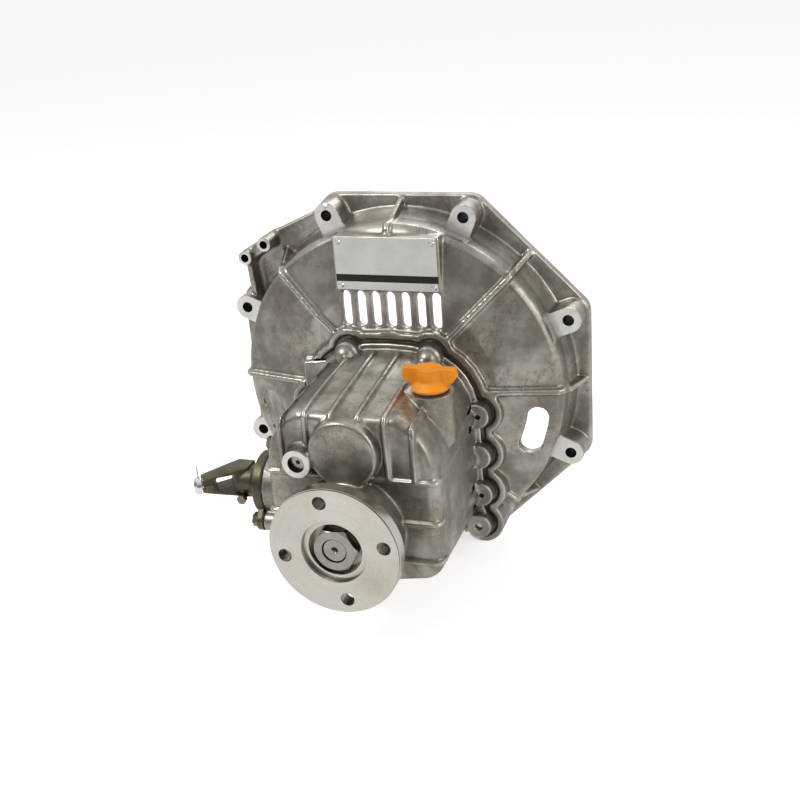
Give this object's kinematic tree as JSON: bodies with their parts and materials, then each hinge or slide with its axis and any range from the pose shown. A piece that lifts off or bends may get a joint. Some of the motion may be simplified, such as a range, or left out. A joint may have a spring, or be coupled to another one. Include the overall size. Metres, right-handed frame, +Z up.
{
  "type": "marine gearbox",
  "caption": "Reversing marine gearbox: ribbed cast bell and gear case, cone clutch gear train, shift lever, oil filler cap and bolted output coupling flange.",
  "frame": {"origin": "on the input shaft axis, in the plane of the engine face", "axes": "+Y out of the bell towards the engine, +Z up, +X to the right when seen from the output coupling"},
  "size_m": [0.295, 0.2057, 0.295],
  "materials": {
    "cast_aluminium": "as cast, stained and lightly worn",
    "seal_rubber": "matt black",
    "dark_cast": "dark grey brown, satin",
    "bearing_steel": "ground",
    "gear_steel": "hardened, oily",
    "plate": "satin, bare",
    "copper": "dull",
    "cap_plastic": "moulded, satin",
    "steel": "turned"
  },
  "bodies": {
    "housing": {"bell_housing": "cast_aluminium", "gear_case": "cast_aluminium", "case_gasket": "seal_rubber", "case_bolts": "steel", "dowel_pins": "bearing_steel", "nameplate": "plate", "plate_rivets": "steel", "input_seal": "seal_rubber", "output_seal": "seal_rubber", "input_front_race": "bearing_steel", "input_rear_race": "bearing_steel", "output_front_cup": "bearing_steel", "output_rear_cup": "bearing_steel", "idler_shaft": "steel", "idler_o_ring": "seal_rubber", "idler_snap_ring": "steel", "side_cover": "dark_cast", "side_cover_gasket": "seal_rubber", "side_cover_bolts": "dark_cast", "shift_shaft_seal": "seal_rubber", "drain_plug": "steel", "drain_washer": "copper"},
    "input": {"input_shaft": "gear_steel", "input_front_bearing": "bearing_steel", "input_rear_bearing": "bearing_steel"},
    "output": {"output_shaft": "steel", "output_front_bearing": "bearing_steel", "output_rear_bearing": "bearing_steel", "front_spacer": "steel", "thrust_washers": "bearing_steel", "output_coupling": "steel", "coupling_washer": "bearing_steel", "coupling_nut": "steel"},
    "forward_drive": {"forward_gear": "gear_steel", "forward_needles": "bearing_steel"},
    "reverse_drive": {"reverse_gear": "gear_steel", "reverse_needles": "bearing_steel"},
    "idler": {"idler_gear": "gear_steel", "idler_needles": "bearing_steel"},
    "clutch": {"drive_cone": "steel"},
    "shift": {"shift_shaft": "steel", "shifter": "gear_steel", "shift_lever": "dark_cast", "lever_pinch_bolt": "dark_cast", "cable_pin": "bearing_steel", "cotter_pin": "bearing_steel"},
    "filler": {"filler_cap": "cap_plastic", "cap_seal": "seal_rubber", "dipstick": "steel"}
  },
  "joints": [
    {"name": "input_spin", "type": "hinge", "parent": "housing", "child": "input", "pos_m": [0, 0, 0], "axis": [0, 1, 0], "continuous": true},
    {"name": "output_spin", "type": "hinge", "parent": "housing", "child": "output", "pos_m": [0, 0, -0.061], "axis": [0, 1, 0], "continuous": true},
    {"name": "forward_gear_spin", "type": "hinge", "parent": "housing", "child": "forward_drive", "pos_m": [0, 0, -0.061], "axis": [0, 1, 0], "continuous": true},
    {"name": "reverse_gear_spin", "type": "hinge", "parent": "housing", "child": "reverse_drive", "pos_m": [0, 0, -0.061], "axis": [0, 1, 0], "continuous": true},
    {"name": "idler_spin", "type": "hinge", "parent": "housing", "child": "idler", "pos_m": [-0.03496, 0, -0.00859], "axis": [0, 1, 0], "continuous": true},
    {"name": "shift_turn", "type": "hinge", "parent": "housing", "child": "shift", "pos_m": [0, -0.12, -0.0565], "axis": [1, 0, 0], "range_deg": [-29, 29]},
    {"name": "drive_cone_slide", "type": "slide", "parent": "output", "child": "clutch", "axis": [0, 1, 0], "range_m": [-0.0022, 0.0022]},
    {"name": "filler_lift", "type": "slide", "parent": "housing", "child": "filler", "axis": [0, 0, 1], "range_m": [0, 0.12]}
  ],
  "couplings": [
    {"joint": "forward_gear_spin", "follows": "input_spin", "ratio": -0.45238},
    {"joint": "idler_spin", "follows": "input_spin", "ratio": -0.56522},
    {"joint": "reverse_gear_spin", "follows": "input_spin", "ratio": 0.325},
    {"joint": "shift_turn", "follows": "drive_cone_slide", "rad_per_m": 230.07}
  ]
}
